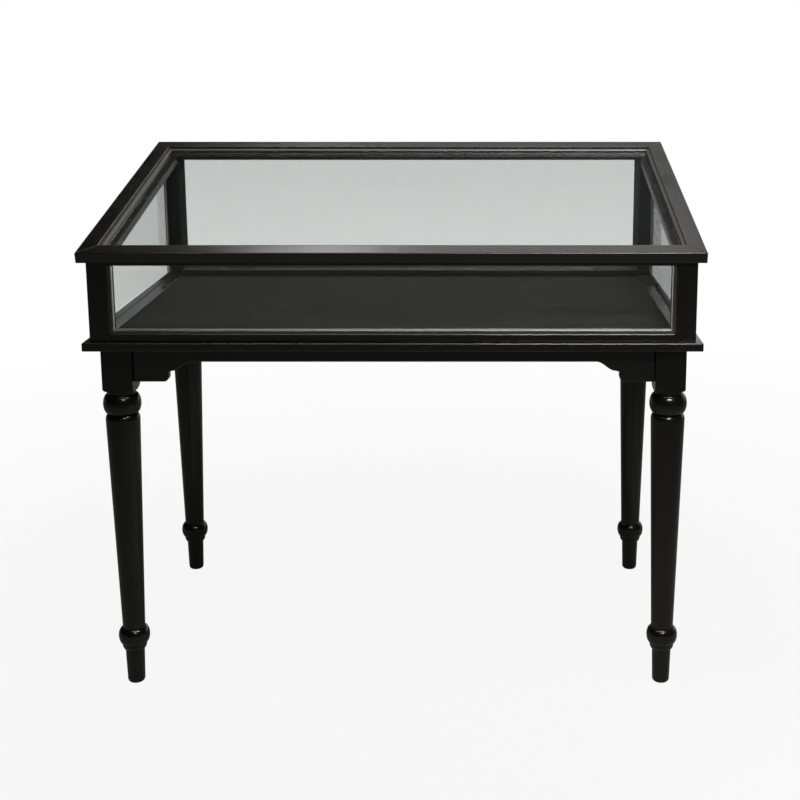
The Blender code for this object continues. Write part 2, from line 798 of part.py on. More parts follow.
def make_leaf(name, middle, first, side, parent):
    """One leaf: side -1 is let into the case rail, side 1 into the lid rail."""
    thick = sorted((side * GAP / 2, side * (GAP / 2 + HINGE_LEAF_THICKNESS)))
    edge = -(KNUCKLE_RADIUS + GAP)
    half = HINGE_LENGTH / 2 - GAP / 2
    low = (middle - half, -HINGE_LEAF_WIDTH, thick[0])
    leaf = box(name, low, (middle + half, edge, thick[1]), DARK_BRONZE, parent)
    spans = knuckle_spans(middle, first)
    bore = PIN_RADIUS + GAP
    for number, (start, end) in enumerate(spans):
        low = (start, edge - KNUCKLE_RADIUS / 2, thick[0])
        tab = box(f"{name}_tab_{number}", low, (end, -bore - GAP, thick[1]), parent=parent)
        join(leaf, tab)
    join(leaf, cylinder_group(name + "_knuckles", KNUCKLE_RADIUS, spans, parent=parent))
    long_bore = [(middle - HINGE_LENGTH, middle + HINGE_LENGTH)]
    cut(leaf, cylinder_group(name + "_bore", bore, long_bore, parent=parent))
    return leaf


def make_hinges(hinge_line, lid_pivot, case_rail, lid_rail):
    depth = GAP / 2 + HINGE_LEAF_THICKNESS + GAP
    room = KNUCKLE_RADIUS + GAP
    pocket_half = HINGE_LENGTH / 2 + GAP
    screw_row = -(HINGE_LEAF_WIDTH + KNUCKLE_RADIUS) / 2
    halves = ((-1, 0, "case", hinge_line, case_rail), (1, 1, "lid", lid_pivot, lid_rail))
    for where, middle in HINGES.items():
        for side, first, word, parent, rail in halves:
            leaf = make_leaf(f"hinge_{word}_leaf_{where}", middle, first, side, parent)
            for pocket, back, front, deep in (
                ("leaf_pocket", 0.0, HINGE_LEAF_WIDTH + GAP, depth),
                ("knuckle_pocket", room, room, room),
            ):
                levels = sorted((side * deep, -side * room))
                low = (middle - pocket_half, -front, levels[0])
                high = (middle + pocket_half, back, levels[1])
                cut(rail, box(f"{pocket}_{word}_{where}", low, high, parent=parent))
            for number in range(HINGE_SCREW_COUNT):
                shift = (number - (HINGE_SCREW_COUNT - 1) / 2) * HINGE_LENGTH / HINGE_SCREW_COUNT
                place = (middle + shift, screw_row, side * GAP)
                name = f"hinge_{word}_screw_{where}_{number + 1}"
                drive_screw(name, HINGE_SCREW, place, side > 0, DARK_BRONZE, [rail, leaf], parent)
        span = [(middle - HINGE_LENGTH / 2, middle + HINGE_LENGTH / 2)]
        cylinder_group("hinge_pin_" + where, PIN_RADIUS, span, DARK_BRONZE, hinge_line)


def main():
    legs = make_legs()
    make_aprons(legs)
    make_braces()
    base_board = make_base_board()
    posts = make_posts(base_board)
    bottom_rails, top_rails = make_rails(posts)
    make_panes(posts, bottom_rails, top_rails)
    make_pane_beads()
    make_deck()
    hinge_line = add_pivot("hinge_line")
    lid_pivot = add_pivot("lid_pivot")
    lid_rails = make_lid(lid_pivot)
    make_hinges(hinge_line, lid_pivot, top_rails["back"], lid_rails["back"])


main()
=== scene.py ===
"""Looks of a jewelry display case: finishes, fine legs, beads and screws, light, floor and camera."""

import json
import math

import bmesh
import bpy
from mathutils import Matrix, Vector

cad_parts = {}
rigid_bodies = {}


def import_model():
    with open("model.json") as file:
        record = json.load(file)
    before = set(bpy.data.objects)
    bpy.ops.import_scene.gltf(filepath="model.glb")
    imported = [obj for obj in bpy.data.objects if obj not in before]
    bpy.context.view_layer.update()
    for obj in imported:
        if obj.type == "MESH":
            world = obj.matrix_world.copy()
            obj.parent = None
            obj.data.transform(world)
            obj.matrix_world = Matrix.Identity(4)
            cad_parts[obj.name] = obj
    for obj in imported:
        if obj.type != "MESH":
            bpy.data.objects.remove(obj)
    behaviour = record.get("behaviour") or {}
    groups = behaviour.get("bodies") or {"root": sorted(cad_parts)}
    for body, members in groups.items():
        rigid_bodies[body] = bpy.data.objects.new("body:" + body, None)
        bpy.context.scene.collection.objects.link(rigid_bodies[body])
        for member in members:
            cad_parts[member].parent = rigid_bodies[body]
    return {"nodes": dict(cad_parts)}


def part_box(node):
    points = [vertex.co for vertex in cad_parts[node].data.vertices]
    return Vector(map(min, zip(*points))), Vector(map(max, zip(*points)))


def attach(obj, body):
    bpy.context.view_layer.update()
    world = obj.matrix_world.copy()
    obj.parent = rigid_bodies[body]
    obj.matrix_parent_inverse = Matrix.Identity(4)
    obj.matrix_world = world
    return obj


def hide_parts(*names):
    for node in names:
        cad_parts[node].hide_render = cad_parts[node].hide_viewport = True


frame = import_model()

# Turned legs, as in the part's source, in metres
LEG_HEIGHT = 0.710
LEG_BLOCK = 0.060
BLOCK_HEIGHT = 0.090
BLOCK_ARRIS = 0.0012
POMMEL_HEIGHT = 0.010
NECK_DIAMETER = 0.0540
NECK_HEIGHT = 0.006
BEAD_DIAMETER = 0.0740
BEAD_HEIGHT = 0.041
SHOULDER_HEIGHT = 0.0115
SHAFT_TOP_DIAMETER = 0.0672
ANKLE_DIAMETER = 0.0445
RING_DIAMETER = 0.0624
RING_HEIGHT = 0.033
COLLAR_DIAMETER = 0.0500
COLLAR_HEIGHT = 0.014
FOOT_HEIGHT = 0.073
FOOT_TOP_DIAMETER = 0.0384
FOOT_DIAMETER = 0.0350
FOOT_ROUND = 0.008
FOOT_TIP_DIAMETER = 0.022

# Glazing beads and the lid's slope, as in the part's source
PANE_BEAD_WIDTH = 0.0095
PANE_BEAD_ROUND = 0.0080
LID_BEAD_WIDTH = 0.009
LID_BEAD_ROUND = 0.006
LID_SLOPE = math.radians(12)
LID_OUTWARD = Vector((0, -math.sin(LID_SLOPE), math.cos(LID_SLOPE)))
DOWNWARD = Vector((0, 0, -1))

# Fineness of the curved pieces; crease angles in degrees
CURVE_POINTS = 12
TURNS_PER_QUARTER = 16
CORNER_STEPS = (-1.4, -1, -0.5, 0.5, 1, 1.4)
ROUND_POINTS = 10
SCREW_TURNS = 28
CREASE_ANGLE = 32
LEG_CREASE_ANGLE = 40

# Screws: shares of the head's radius
HEAD_LIP_SHARE = 0.08
SLOT_WIDTH_SHARE = 0.26
SLOT_LENGTH_SHARE = 1.3
SLOT_DEPTH_SHARE = 0.5

# Screws: the tip as a share of the shank, the slot's bottom as a share of its top, and lengths in metres
SHANK_TIP_SHARE = 0.25
SLOT_BOTTOM_SHARE = 0.55
SLOT_CUTTER_RISE = 0.001
SAME_PLACE = 1e-5
BELOW_HEAD = 1e-4

# Colours, as linear red, green and blue
PAINT_DEEP = (0.0017, 0.0017, 0.0015, 1)
PAINT_LIGHT = (0.0038, 0.0037, 0.0033, 1)
PAINT_WORN = (0.0200, 0.0165, 0.0130, 1)
CLOTH_DARK = (0.0036, 0.0035, 0.0031, 1)
CLOTH_LIGHT = (0.0105, 0.0102, 0.0090, 1)
WOOD_DARK = (0.300, 0.175, 0.080, 1)
WOOD_LIGHT = (0.520, 0.350, 0.190, 1)
BRONZE_DARK = (0.055, 0.040, 0.026, 1)
BRONZE_LIGHT = (0.130, 0.095, 0.060, 1)
ZINC_DARK = (0.420, 0.425, 0.430, 1)
ZINC_LIGHT = (0.620, 0.625, 0.630, 1)
GLASS_TINT = (0.945, 0.972, 0.960, 1)
FLOOR_COLOUR = (0.28, 0.28, 0.278, 1)
WHITE = (1, 1, 1, 1)
LAMP_COLOUR = (1.0, 0.975, 0.93)

# Patterns: the middle part of a noise's values, and the alikeness of normals that counts as an edge
NOISE_SPAN = (0.3, 0.7)
EDGE_SPAN = (0.86, 0.99)
EDGE_SAMPLES = 16

# Black paint: scale along and across the grain, depths and worn edges in metres, roughness and shine
GRAIN_SCALE = 190.0
DRAG_SCALE = 34.0
MOTTLE_SCALE = 9.0
DUST_SCALE = 420.0
ALONG_GRAIN = 0.045
TURNED_STRETCH = (0.12, 0.12, 1.6)
GRAIN_DEPTH = 0.00005
TURNED_GRAIN_DEPTH = 0.00006
BEAD_GRAIN_DEPTH = 0.00002
GRAIN_STRENGTH = 0.35
DRAG_DEPTH = 0.00005
DRAG_STRENGTH = 0.30
WORN_EDGE = 0.004
WORN_SHARE = 0.8
WORN_SPAN = (0.42, 0.68)
PAINT_ROUGHNESS = (0.15, 0.23)
BEAD_ROUGHNESS = (0.34, 0.40)
DUST_ROUGHNESS = 0.015
EDGE_ROUGHNESS = 0.18
WIPED_ROUGHNESS = (0.06, 0.12)
TOP_FACES = (0.86, 0.97)
PAINT_SHINE = 0.55
TURNED_SHINE = 0.42
BEAD_SHINE = 1.0

# Glass: wiped streaks
GLASS_IOR = 1.5
STREAK_SCALE = 5.0
STREAK_STRETCH = (1.0, 2.6, 2.6)
STREAK_ROUGHNESS = 0.020
STREAK_SPAN = (0.52, 0.80)

# Lining cloth: thread spacing and depths in metres
THREAD_PITCH = 0.0016
FIBRE_SCALE = 900.0
NAP_SCALE = 7.0
NAP_STRETCH = (1.0, 1.8, 1.0)
WEAVE_SHARE = 0.45
NAP_SHARE = 0.55
FIBRE_DEPTH = 0.0002
WEAVE_DEPTH = 0.0005
CLOTH_ROUGHNESS = (0.80, 0.98)

# Bare wood: depth in metres
WOOD_STRETCH = (1.0, 1.0, 0.12)
BAND_SCALE = 38.0
WOOD_GRAIN_SCALE = 320.0
BAND_SHARE = 0.65
WOOD_GRAIN_SHARE = 0.35
WOOD_DEPTH = 0.0003
WOOD_ROUGHNESS = (0.62, 0.85)

# Metal: depth and rubbed edges in metres
CLOUD_SCALE = 140.0
BRUSH_SCALE = 900.0
BRUSH_STRETCH = (0.06, 1.0, 1.0)
BRUSH_DEPTH = 0.00006
RUBBED_EDGE = 0.0006
RUBBED_SHARE = (0.2, 0.9)
RUBBED_SPAN = (0.35, 0.7)
BRONZE_ROUGHNESS = (0.30, 0.48)
ZINC_ROUGHNESS = (0.24, 0.42)

# White backdrop: where it starts and is full, as parts of a direction back, up and to the right
BACKDROP_BACK = (0.25, 0.70)
BACKDROP_TOP = 0.42
BACKDROP_FADE = 0.06
BACKDROP_RIGHT = (-0.15, -0.02)
BACKDROP_LEFT_LEVEL = 0.03

# Room: its level on dull surfaces, and in gloss from left to right
ROOM_LIGHT = 0.25
ROOM_IN_GLOSS = 0.05
ROOM_LEFT_IN_GLOSS = ROOM_IN_GLOSS / 6
ROOM_RIGHT = (-0.25, 0.15)
ANY_BOUNCE = 0.5

# Floor: reach and distances in metres, its level in gloss, and its whiteness near the object
FLOOR_REACH = 60
FLOOR_IN_GLOSS = 0.35
FLOOR_GLOSS_BACK = (1.5, 6.0)
FLOOR_NEAR_WHITE = 0.91
FLOOR_FADE = (0.8, 3.0)

# Camera: sensor and lens in millimetres, shift as parts of the frame, place in metres, pitch in radians
SENSOR_WIDTH = 36
LENS = 61.08
CAMERA_SHIFT = (-0.1006, -0.125)
CAMERA_PLACE = (0.169, -2.8988, 1.3147)
CAMERA_PITCH = 0.1954


class Finish:
    """The nodes of a material or of the world, with short words for the ones used here."""

    def __init__(self, name, tree=None):
        if tree is None:
            self.material = bpy.data.materials.new(name)
            self.material.use_nodes = True
            tree = self.material.node_tree
        self.tree = tree
        self.tree.nodes.clear()

    def node(self, kind, inputs=None, **settings):
        """A node; inputs maps socket names or numbers to plain values or to other nodes' outputs."""
        made = self.tree.nodes.new("ShaderNode" + kind)
        for name, value in settings.items():
            setattr(made, name, value)
        for name, value in (inputs or {}).items():
            if isinstance(value, bpy.types.NodeSocket):
                self.tree.links.new(value, made.inputs[name])
            else:
                made.inputs[name].default_value = value
        return made

    def place(self, stretch=(1, 1, 1)):
        """Points in the piece's own axes, so that a pattern rides with it."""
        points = self.node("TexCoord").outputs["Object"]
        return self.node("Mapping", {"Vector": points, "Scale": stretch}).outputs["Vector"]

    def noise(self, scale, stretch=(1, 1, 1), detail=3.0, rough=0.55):
        inputs = {"Vector": self.place(stretch), "Scale": scale, "Detail": detail, "Roughness": rough}
        return self.node("TexNoise", inputs).outputs["Fac"]

    def threads(self, direction, pitch, wander=0.6):
        """Bands with the given spacing across one axis; at a scale of 1 they are 0.1 pi apart."""
        inputs = {"Vector": self.place(), "Scale": 0.1 * math.pi / pitch, "Distortion": wander, "Detail": 1.0}
        return self.node("TexWave", inputs, bands_direction=direction).outputs["Fac"]

    def scaled(self, share, low, high, start=0.0, end=1.0):
        """Carry a value from the range of start to end over to that of low to high."""
        inputs = {"Value": share, "From Min": start, "From Max": end, "To Min": low, "To Max": high}
        return self.node("MapRange", inputs).outputs["Result"]

    def combine(self, operation, first, second):
        return self.node("Math", {0: first, 1: second}, operation=operation).outputs["Value"]

    def shades(self, share, dark, light):
        """Mix two colours, which the node keeps at its inputs 6 and 7 and its output 2."""
        inputs = {"Factor": share, 6: dark, 7: light}
        return self.node("Mix", inputs, data_type="RGBA").outputs[2]

    def edges(self, width):
        """The normal rounded over the piece's edges, and a share of about 1 there and 0 on its flats."""
        rounded = self.node("Bevel", {"Radius": width}, samples=EDGE_SAMPLES).outputs["Normal"]
        flat = self.node("NewGeometry").outputs["Normal"]
        alike = self.node("VectorMath", {0: rounded, 1: flat}, operation="DOT_PRODUCT").outputs["Value"]
        return rounded, self.scaled(alike, 1.0, 0.0, *EDGE_SPAN)

    def upward(self, start, end):
        """1 on faces that look up when the piece is at rest, 0 on its sides."""
        normal = self.node("TexCoord").outputs["Normal"]
        height = self.node("SeparateXYZ", {"Vector": normal}).outputs["Z"]
        return self.scaled(height, 0.0, 1.0, start, end)

    def bump(self, height, distance, strength=1.0, normal=None):
        inputs = {"Height": height, "Distance": distance, "Strength": strength}
        if normal is not None:
            inputs["Normal"] = normal
        return self.node("Bump", inputs).outputs["Normal"]

    def surface(self, inputs):
        return self.node("BsdfPrincipled", inputs).outputs["BSDF"]

    def output(self, shader):
        self.node("OutputMaterial", {"Surface": shader})
        return self.material


# Finishes

def black_paint(name, stretch, marks, arris=WORN_EDGE, gloss=PAINT_ROUGHNESS, shine=PAINT_SHINE):
    """Black paint over close wood: faint grain, brush drag, thin worn edges, and tops dulled by wiping.

    The grain is stretched along the axes and its marks have a depth; arris is the width of the worn edges.
    """
    finish = Finish(name)
    grain = finish.noise(GRAIN_SCALE, stretch, detail=4.0)
    drag = finish.noise(DRAG_SCALE, stretch, detail=2.0)
    mottle = finish.noise(MOTTLE_SCALE, detail=4.0)
    dust = finish.noise(DUST_SCALE, detail=2.0)
    brushed = finish.scaled(drag, *gloss, *NOISE_SPAN)
    sides = finish.combine("ADD", brushed, finish.scaled(dust, 0.0, DUST_ROUGHNESS))
    colour = finish.shades(mottle, PAINT_DEEP, PAINT_LIGHT)
    rounded = None
    if arris:
        rounded, edge = finish.edges(arris)
        worn = finish.combine("MULTIPLY", edge, finish.scaled(mottle, 0.0, WORN_SHARE, *WORN_SPAN))
        colour = finish.shades(worn, colour, PAINT_WORN)
        sides = finish.combine("ADD", sides, finish.scaled(edge, 0.0, EDGE_ROUGHNESS))
    dulled = finish.scaled(mottle, *WIPED_ROUGHNESS, *NOISE_SPAN)
    wiped = finish.combine("MULTIPLY", finish.upward(*TOP_FACES), dulled)
    uneven = finish.bump(drag, DRAG_DEPTH, DRAG_STRENGTH, rounded)
    shader = finish.surface({
        "Base Color": colour,
        "Roughness": finish.combine("ADD", sides, wiped),
        "Specular IOR Level": shine,
        "Normal": finish.bump(grain, marks, GRAIN_STRENGTH, uneven),
    })
    return finish.output(shader)


def clear_glass():
    """Float glass with a pale green cast and a few wiped streaks, which lets the lamps through."""
    finish = Finish("clear_glass")
    wiped = finish.noise(STREAK_SCALE, STREAK_STRETCH, detail=4.0)
    glass = finish.surface({
        "Base Color": GLASS_TINT,
        "Roughness": finish.scaled(wiped, 0.0, STREAK_ROUGHNESS, *STREAK_SPAN),
        "IOR": GLASS_IOR,
        "Transmission Weight": 1.0,
    })
    clear = finish.node("BsdfTransparent", {"Color": GLASS_TINT}).outputs["BSDF"]
    shadow = finish.node("LightPath").outputs["Is Shadow Ray"]
    shader = finish.node("MixShader", {0: shadow, 1: glass, 2: clear}).outputs["Shader"]
    return finish.output(shader)


def charcoal_cloth():
    """Close woven lining cloth: crossed threads, a brushed nap and a soft sheen."""
    finish = Finish("charcoal_cloth")
    weave = finish.combine("MULTIPLY", finish.threads("X", THREAD_PITCH), finish.threads("Y", THREAD_PITCH))
    fibre = finish.noise(FIBRE_SCALE, detail=2.0)
    nap = finish.noise(NAP_SCALE, NAP_STRETCH, detail=5.0, rough=0.62)
    brushed = finish.scaled(nap, 0.0, NAP_SHARE, *NOISE_SPAN)
    depth = finish.combine("ADD", finish.scaled(weave, 0.0, WEAVE_SHARE), brushed)
    woven = finish.bump(weave, WEAVE_DEPTH, strength=0.6)
    shader = finish.surface({
        "Base Color": finish.shades(depth, CLOTH_DARK, CLOTH_LIGHT),
        "Roughness": finish.scaled(fibre, *CLOTH_ROUGHNESS),
        "Specular IOR Level": 0.06,
        "Sheen Weight": 0.015,
        "Sheen Roughness": 0.45,
        "Normal": finish.bump(fibre, FIBRE_DEPTH, strength=0.5, normal=woven),
    })
    return finish.output(shader)


def bare_wood():
    """Planed softwood: growth bands, fine grain and a dry surface."""
    finish = Finish("bare_wood")
    inputs = {
        "Vector": finish.place(WOOD_STRETCH),
        "Scale": BAND_SCALE,
        "Distortion": 4.0,
        "Detail": 3.0,
        "Detail Scale": 1.2,
    }
    bands = finish.node("TexWave", inputs, bands_direction="DIAGONAL").outputs["Fac"]
    grain = finish.noise(WOOD_GRAIN_SCALE, WOOD_STRETCH, detail=4.0)
    banded = finish.scaled(bands, 0.0, BAND_SHARE)
    tone = finish.combine("ADD", banded, finish.scaled(grain, 0.0, WOOD_GRAIN_SHARE))
    shader = finish.surface({
        "Base Color": finish.shades(tone, WOOD_LIGHT, WOOD_DARK),
        "Roughness": finish.scaled(grain, *WOOD_ROUGHNESS),
        "Normal": finish.bump(tone, WOOD_DEPTH, strength=0.4),
    })
    return finish.output(shader)


def worked_metal(name, dark, light, roughness):
    """Rolled metal with a brushed surface, darker in places, brighter along the edges."""
    finish = Finish(name)
    cloud = finish.noise(CLOUD_SCALE, detail=4.0)
    brushed = finish.noise(BRUSH_SCALE, BRUSH_STRETCH, detail=2.0)
    _, edge = finish.edges(RUBBED_EDGE)
    rubbed = finish.combine("MULTIPLY", edge, finish.scaled(cloud, *RUBBED_SHARE, *RUBBED_SPAN))
    shader = finish.surface({
        "Base Color": finish.shades(finish.combine("MAXIMUM", cloud, rubbed), dark, light),
        "Metallic": 1.0,
        "Roughness": finish.scaled(cloud, *roughness, *NOISE_SPAN),
        "Normal": finish.bump(brushed, BRUSH_DEPTH, strength=0.4),
    })
    return finish.output(shader)


def make_finishes():
    """One finish per material, and for the paint one per direction of the grain."""
    turned = {"arris": None, "shine": TURNED_SHINE}
    bead = {"arris": None, "gloss": BEAD_ROUGHNESS, "shine": BEAD_SHINE}
    return {
        "paint_x": black_paint("black_paint_along_x", (ALONG_GRAIN, 1, 1), GRAIN_DEPTH),
        "paint_y": black_paint("black_paint_along_y", (1, ALONG_GRAIN, 1), GRAIN_DEPTH),
        "paint_z": black_paint("black_paint_along_z", (1, 1, ALONG_GRAIN), GRAIN_DEPTH),
        "paint_turned": black_paint("black_paint_turned", TURNED_STRETCH, TURNED_GRAIN_DEPTH, **turned),
        "paint_bead": black_paint("black_paint_bead", (1, 1, 1), BEAD_GRAIN_DEPTH, **bead),
        "glass": clear_glass(),
        "cloth": charcoal_cloth(),
        "wood": bare_wood(),
        "bronze": worked_metal("dark_bronze", BRONZE_DARK, BRONZE_LIGHT, BRONZE_ROUGHNESS),
        "zinc": worked_metal("zinc", ZINC_DARK, ZINC_LIGHT, ZINC_ROUGHNESS),
    }


def finish_of(name):
    """Which finish a node of the model takes, from its name."""
    if name.startswith("leg"):
        return "paint_turned"
    if name.startswith("pane_beads") or name == "lid_beads":
        return "paint_bead"
    if name.startswith("pane") or name == "lid_glass":
        return "glass"
    if name == "display_deck":
        return "cloth"
    if name.startswith("corner_brace"):
        return "wood"
    if name.startswith("hinge"):
        return "bronze"
    if name.startswith("case_screw"):
        return "zinc"
    if name.startswith("post"):
        return "paint_z"
    return "paint_y" if name.endswith(("left", "right")) else "paint_x"


def dress(thing, material):
    thing.data.materials.clear()
    thing.data.materials.append(material)


# Meshes

def add_piece(name, points, faces, material, crease=CREASE_ANGLE):
    """A new piece from points and faces, smooth where its faces turn by less than the crease angle."""
    mesh = bpy.data.meshes.new(name)
    mesh.from_pydata(points, [], faces)
    shape = bmesh.new()
    shape.from_mesh(mesh)
    bmesh.ops.recalc_face_normals(shape, faces=shape.faces)
    shape.to_mesh(mesh)
    shape.free()
    mesh.shade_smooth()
    mesh.set_sharp_from_angle(angle=math.radians(crease))
    piece = bpy.data.objects.new(name, mesh)
    bpy.context.scene.collection.objects.link(piece)
    dress(piece, material)
    return piece


def skin(rings, closed=False):
    """Points and faces through rings of equal count: a bar with two ends, or a closed frame."""
    count = len(rings[0])
    points = [point for ring in rings for point in ring]
    faces = []
    for level in range(len(rings) if closed else len(rings) - 1):
        start, after = level * count, (level + 1) % len(rings) * count
        for i in range(count):
            far = (i + 1) % count
            faces.append((start + i, after + i, after + far, start + far))
    if not closed:
        last = (len(rings) - 1) * count
        faces += [tuple(range(count)), tuple(range(last, last + count))]
    return points, faces


# Quarter-round glazing beads

def bead_profile(width, depth, radius):
    """Points as (inset from the outer edge, depth from the face), rounded at the inner front edge."""
    profile = [(0, 0)]
    for i in range(ROUND_POINTS + 1):
        angle = math.pi / 2 * i / ROUND_POINTS
        profile.append((width - radius + radius * math.sin(angle), radius - radius * math.cos(angle)))
    return profile + [(width, depth), (0, depth)]


def add_bead(name, points, faces, material, body):
    bead = add_piece("rounded_" + name, points, faces, material)
    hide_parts(name)
    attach(bead, body)


def make_pane_beads(finishes):
    """Strips up both sides of each opening and along its bottom, cut to the rail above."""
    for side in ("front", "back", "left", "right"):
        name = "pane_beads_" + side
        low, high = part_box(name)
        along, across = (0, 1) if side in ("front", "back") else (1, 0)
        climb = 0 if side in ("front", "back") else math.tan(LID_SLOPE)
        profile = bead_profile(PANE_BEAD_WIDTH, high[across] - low[across], PANE_BEAD_ROUND)
        rings = [[], [], [], []]
        for inset, depth in profile:
            start, end = low[along] + inset, high[along] - inset
            places = [
                (start, high.z - climb * (high[along] - start)),
                (start, low.z + inset),
                (end, low.z + inset),
                (end, high.z - climb * (high[along] - end)),
            ]
            face = low[across] + depth if side in ("front", "left") else high[across] - depth
            for ring, (place, height) in zip(rings, places):
                ring.append((place, face, height) if along == 0 else (face, place, height))
        add_bead(name, *skin(rings), finishes["paint_bead"], "table_and_case")


def make_lid_beads(finishes):
    """One mitred frame on the lid's glass, built in the lid's own slope."""
    tilt = Matrix.Rotation(LID_SLOPE, 3, "X")
    points = [vertex.co @ tilt for vertex in frame["nodes"]["lid_beads"].data.vertices]
    low = [min(point[axis] for point in points) for axis in range(3)]
    high = [max(point[axis] for point in points) for axis in range(3)]
    rings = [[], [], [], []]
    for inset, depth in bead_profile(LID_BEAD_WIDTH, high[2] - low[2], LID_BEAD_ROUND):
        left, right = low[0] + inset, high[0] - inset
        front, back = low[1] + inset, high[1] - inset
        for ring, (x, y) in zip(rings, ((left, front), (right, front), (right, back), (left, back))):
            ring.append(tilt @ Vector((x, y, high[2] - depth)))
    add_bead("lid_beads", *skin(rings, closed=True), finishes["paint_bead"], "lid")


# Turned legs

def swelling(low, high, neck_low, neck_high, belly):
    """Half an ellipse from one neck to the next, as (radius, height) from top to bottom."""
    middle, half = (low + high) / 2, (high - low) / 2
    shape = []
    for i in range(2 * CURVE_POINTS + 1):
        angle = math.pi * i / (2 * CURVE_POINTS)
        neck = neck_high if angle < math.pi / 2 else neck_low
        shape.append((neck + (belly - neck) * math.sin(angle), middle + half * math.cos(angle)))
    return shape


def quarter_round(start, end, bulges_down=True):
    """A quarter of an ellipse between two (radius, height) points, without its first point."""
    shape = []
    for i in range(1, CURVE_POINTS + 1):
        angle = math.pi / 2 * i / CURVE_POINTS
        near, far = 1 - math.cos(angle), math.sin(angle)
        across, down = (near, far) if bulges_down else (far, near)
        shape.append((start[0] + (end[0] - start[0]) * across, start[1] + (end[1] - start[1]) * down))
    return shape


def leg_profile():
    """The leg's radius down its height, and how many of its first rings are cut to the square block."""
    neck = NECK_DIAMETER / 2
    block_bottom = LEG_HEIGHT - BLOCK_HEIGHT
    bead_top = block_bottom - NECK_HEIGHT
    bead_bottom = bead_top - BEAD_HEIGHT
    collar_top = FOOT_HEIGHT + COLLAR_HEIGHT
    ring_top = collar_top + RING_HEIGHT
    corner = LEG_BLOCK / math.sqrt(2)
    profile = [(corner, LEG_HEIGHT), (corner, block_bottom + POMMEL_HEIGHT)]
    profile += quarter_round(profile[-1], (neck, block_bottom))
    squared = len(profile)
    profile += swelling(bead_bottom, bead_top, neck, neck, BEAD_DIAMETER / 2)
    profile += quarter_round(profile[-1], (SHAFT_TOP_DIAMETER / 2, bead_bottom - SHOULDER_HEIGHT), False)
    profile += swelling(collar_top, ring_top, COLLAR_DIAMETER / 2, ANKLE_DIAMETER / 2, RING_DIAMETER / 2)
    profile += quarter_round(profile[-1], (FOOT_TOP_DIAMETER / 2, FOOT_HEIGHT))
    profile.append((FOOT_DIAMETER / 2, FOOT_ROUND))
    profile += quarter_round(profile[-1], (FOOT_TIP_DIAMETER / 2, 0))
    return profile, squared


def block_reach(angle):
    """From the leg's axis to the side of its square block, with softened corners."""
    half = LEG_BLOCK / 2
    across, along = sorted((abs(math.cos(angle)), abs(math.sin(angle))))
    centre = half - BLOCK_ARRIS
    if half * across / along <= centre:
        return half / along
    middle = centre * (across + along)
    return middle + math.sqrt(max(0, BLOCK_ARRIS ** 2 - 2 * centre ** 2 + middle ** 2))


def leg_angles():
    """Even steps round the leg, with extra ones at the softened corners of the block."""
    quarter = math.pi / 2
    arris = math.pi / 4 - math.atan((LEG_BLOCK / 2 - BLOCK_ARRIS) / (LEG_BLOCK / 2))
    turns = [quarter * i / TURNS_PER_QUARTER for i in range(TURNS_PER_QUARTER)]
    turns += [quarter / 2 + arris * step for step in CORNER_STEPS]
    return [turn + quarter * side for side in range(4) for turn in sorted(turns)]


def make_legs(finishes):
    turns = leg_angles()
    profile, squared = leg_profile()
    leg_names = [name for name in frame["nodes"] if name.startswith("leg_")]
    for name in leg_names:
        low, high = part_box(name)
        middle = (low + high) / 2
        rings = []
        for level, (radius, height) in enumerate(profile):
            reaches = [min(radius, block_reach(turn)) if level < squared else radius for turn in turns]
            rings.append([
                (middle.x + reach * math.cos(turn), middle.y + reach * math.sin(turn), height)
                for reach, turn in zip(reaches, turns)
            ])
        leg = add_piece("turned_" + name, *skin(rings), finishes["paint_turned"], crease=LEG_CREASE_ANGLE)
        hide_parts(name)
        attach(leg, "table_and_case")


# Screws with a crossed drive

def screw_sizes(name, outward):
    """Head middle, head radius, shank radius and length of a screw in the model."""
    points = [vertex.co for vertex in frame["nodes"][name].data.vertices]
    levels = [point.dot(outward) for point in points]
    highest = max(levels)
    top = [point for point, level in zip(points, levels) if level > highest - SAME_PLACE]
    middle = sum(top, Vector()) / len(top)
    radii = [(point - middle - outward * (point - middle).dot(outward)).length for point in points]
    below = [radius for radius, level in zip(radii, levels) if level < highest - BELOW_HEAD]
    shank = min(radius for radius in below if radius > SAME_PLACE)
    return middle, max(radii), shank, highest - min(levels)


def crossed_slot(head, depth):
    """A cutter of two crossed bars that narrow downwards, as (points, faces) pairs."""
    bars = []
    for turn in (0, math.pi / 2):
        rings = []
        for level, narrow in ((SLOT_CUTTER_RISE, 1.0), (-depth, SLOT_BOTTOM_SHARE)):
            long = head * SLOT_LENGTH_SHARE / 2 * narrow
            wide = head * SLOT_WIDTH_SHARE / 2 * narrow
            corners = [(long, wide), (-long, wide), (-long, -wide), (long, -wide)]
            rings.append([
                (x * math.cos(turn) - y * math.sin(turn), x * math.sin(turn) + y * math.cos(turn), level)
                for x, y in corners
            ])
        bars.append(skin(rings))
    return bars


